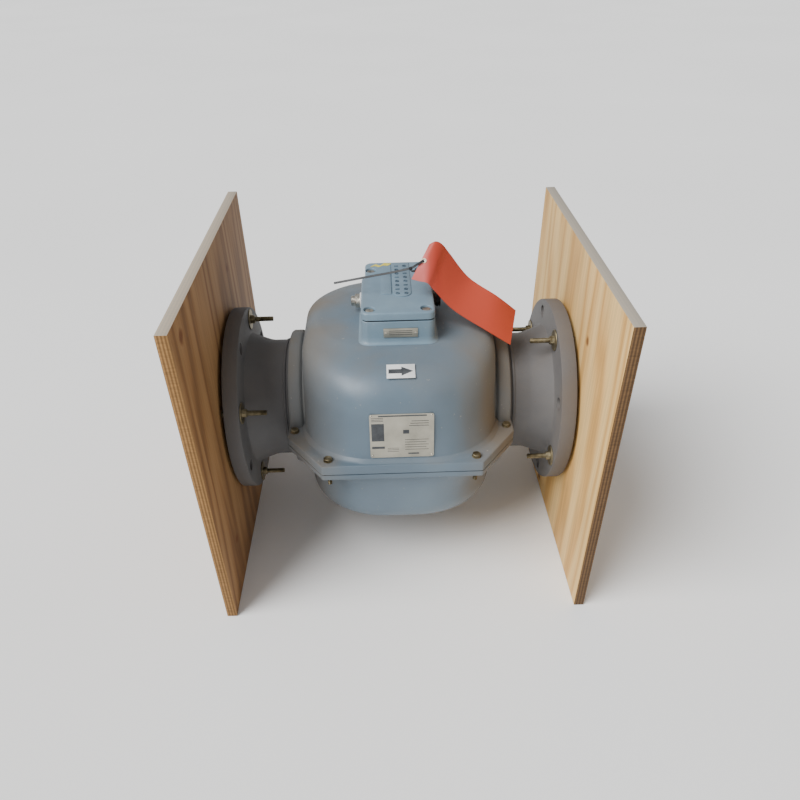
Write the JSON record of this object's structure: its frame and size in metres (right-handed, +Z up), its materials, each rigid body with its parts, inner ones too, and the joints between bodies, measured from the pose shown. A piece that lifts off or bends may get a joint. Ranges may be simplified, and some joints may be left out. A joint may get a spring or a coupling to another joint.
{
  "type": "gas meter",
  "caption": "Flanged in-line ultrasonic gas meter with a bolted two-shell housing and a terminal box, standing on plywood transport covers bolted to its flanges.",
  "frame": {"origin": "on the floor under the middle of the object, midway between the two plywood covers it stands on", "axes": "+X along the flow from the inlet to the outlet flange, +Z up through the terminal box, +Y away from the side with the nameplate"},
  "size_m": [0.6726, 0.6, 0.5762],
  "materials": {
    "housing_enamel": "dusty satin blue-grey enamel on castings",
    "pipe_primer": "dusty matt grey primer on steel",
    "plywood": "raw plywood",
    "zinc_steel": "yellowish zinc plate",
    "black_rubber": "matt",
    "box_enamel": "satin blue enamel",
    "screw_steel": "bare steel",
    "plug_steel": "bare steel",
    "seal_tape": "white sealing ring",
    "brown_plastic": "moulded",
    "plate_metal": "printed metal plate",
    "label_white": "printed film",
    "tag_red": "flexible red sheet",
    "eyelet_white": "moulded ring",
    "tie_black": "moulded strap",
    "probe_steel": "machined",
    "board_green": "circuit board",
    "block_grey": "moulded",
    "wire_grey": "cable jacket"
  },
  "bodies": {
    "meter": {"upper_housing": "housing_enamel", "lower_housing": "housing_enamel", "inlet_flange": "pipe_primer", "outlet_flange": "pipe_primer", "measuring_pipe": "pipe_primer", "housing_bolt_1": "zinc_steel", "housing_bolt_2": "zinc_steel", "housing_bolt_3": "zinc_steel", "housing_bolt_4": "zinc_steel", "housing_bolt_5": "zinc_steel", "housing_bolt_6": "zinc_steel", "housing_bolt_7": "zinc_steel", "housing_bolt_8": "zinc_steel", "inlet_cover_nut_1": "zinc_steel", "inlet_cover_nut_2": "zinc_steel", "inlet_cover_nut_3": "zinc_steel", "inlet_cover_nut_4": "zinc_steel", "outlet_cover_nut_1": "zinc_steel", "outlet_cover_nut_2": "zinc_steel", "outlet_cover_nut_3": "zinc_steel", "outlet_cover_nut_4": "zinc_steel", "board_bracket": "zinc_steel", "front_gasket": "black_rubber", "rear_gasket": "black_rubber", "lid_gasket": "black_rubber", "terminal_box": "box_enamel", "cable_entry_cap": "brown_plastic", "nameplate": "plate_metal", "box_plate": "plate_metal", "arrow_label": "label_white", "transducer_1": "probe_steel", "transducer_2": "probe_steel", "transducer_3": "probe_steel", "transducer_4": "probe_steel", "temperature_probe": "probe_steel", "preamplifier_board": "board_green", "terminal_block": "block_grey", "signal_harness": "wire_grey"},
    "box_lid": {"terminal_box_lid": "box_enamel"},
    "screw_1": {"lid_screw_1": "screw_steel"},
    "screw_2": {"lid_screw_2": "screw_steel"},
    "screw_3": {"lid_screw_3": "screw_steel"},
    "screw_4": {"lid_screw_4": "screw_steel"},
    "plug_ring": {"plug_seal": "seal_tape"},
    "plug": {"blanking_plug": "plug_steel"},
    "tie": {"cable_tie": "tie_black"},
    "tag_leaf": {"tag": "tag_red", "tag_eyelet": "eyelet_white"},
    "inlet_cover_set": {"inlet_cover": "plywood", "inlet_face_gasket": "black_rubber", "inlet_cover_bolt_1": "zinc_steel", "inlet_cover_bolt_2": "zinc_steel", "inlet_cover_bolt_3": "zinc_steel", "inlet_cover_bolt_4": "zinc_steel"},
    "outlet_cover_set": {"outlet_cover": "plywood", "outlet_face_gasket": "black_rubber", "outlet_cover_bolt_1": "zinc_steel", "outlet_cover_bolt_2": "zinc_steel", "outlet_cover_bolt_3": "zinc_steel", "outlet_cover_bolt_4": "zinc_steel"}
  },
  "joints": [
    {"name": "inlet_cover_off", "type": "slide", "parent": "meter", "child": "inlet_cover_set", "axis": [-1, 0, 0], "range_m": [0, 0.12]},
    {"name": "outlet_cover_off", "type": "slide", "parent": "meter", "child": "outlet_cover_set", "axis": [1, 0, 0], "range_m": [0, 0.12]},
    {"name": "lid_lift", "type": "slide", "parent": "meter", "child": "box_lid", "axis": [0, 0, 1], "range_m": [0, 0.008]},
    {"name": "lid_screw_1_turn", "type": "hinge", "parent": "box_lid", "child": "screw_1", "pos_m": [-0.047, -0.0765, 0.4898], "axis": [0, 0, 1], "continuous": true},
    {"name": "lid_screw_2_turn", "type": "hinge", "parent": "box_lid", "child": "screw_2", "pos_m": [0.047, -0.0765, 0.4898], "axis": [0, 0, 1], "continuous": true},
    {"name": "lid_screw_3_turn", "type": "hinge", "parent": "box_lid", "child": "screw_3", "pos_m": [0.045, 0.081, 0.4898], "axis": [0, 0, 1], "continuous": true},
    {"name": "lid_screw_4_turn", "type": "hinge", "parent": "box_lid", "child": "screw_4", "pos_m": [-0.045, 0.081, 0.4898], "axis": [0, 0, 1], "continuous": true},
    {"name": "plug_out", "type": "slide", "parent": "meter", "child": "plug_ring", "axis": [-1, 0, 0], "range_m": [0, 0.012]},
    {"name": "plug_turn", "type": "hinge", "parent": "plug_ring", "child": "plug", "pos_m": [-0.0618, 0.03, 0.461], "axis": [-1, 0, 0], "range_deg": [0, 2880]},
    {"name": "tie_swing", "type": "hinge", "parent": "meter", "child": "tie", "pos_m": [0.073, 0.03, 0.461], "axis": [-1, 0, 0], "range_deg": [0, 20]},
    {"name": "tag_turn", "type": "hinge", "parent": "tie", "child": "tag_leaf", "pos_m": [0.04601, -0.01616, 0.55115], "axis": [-0.0389, -0.7287, 0.6837], "range_deg": [0, 20]}
  ],
  "couplings": [
    {"joint": "plug_out", "follows": "plug_turn", "m_per_rad": 0.0002387}
  ]
}
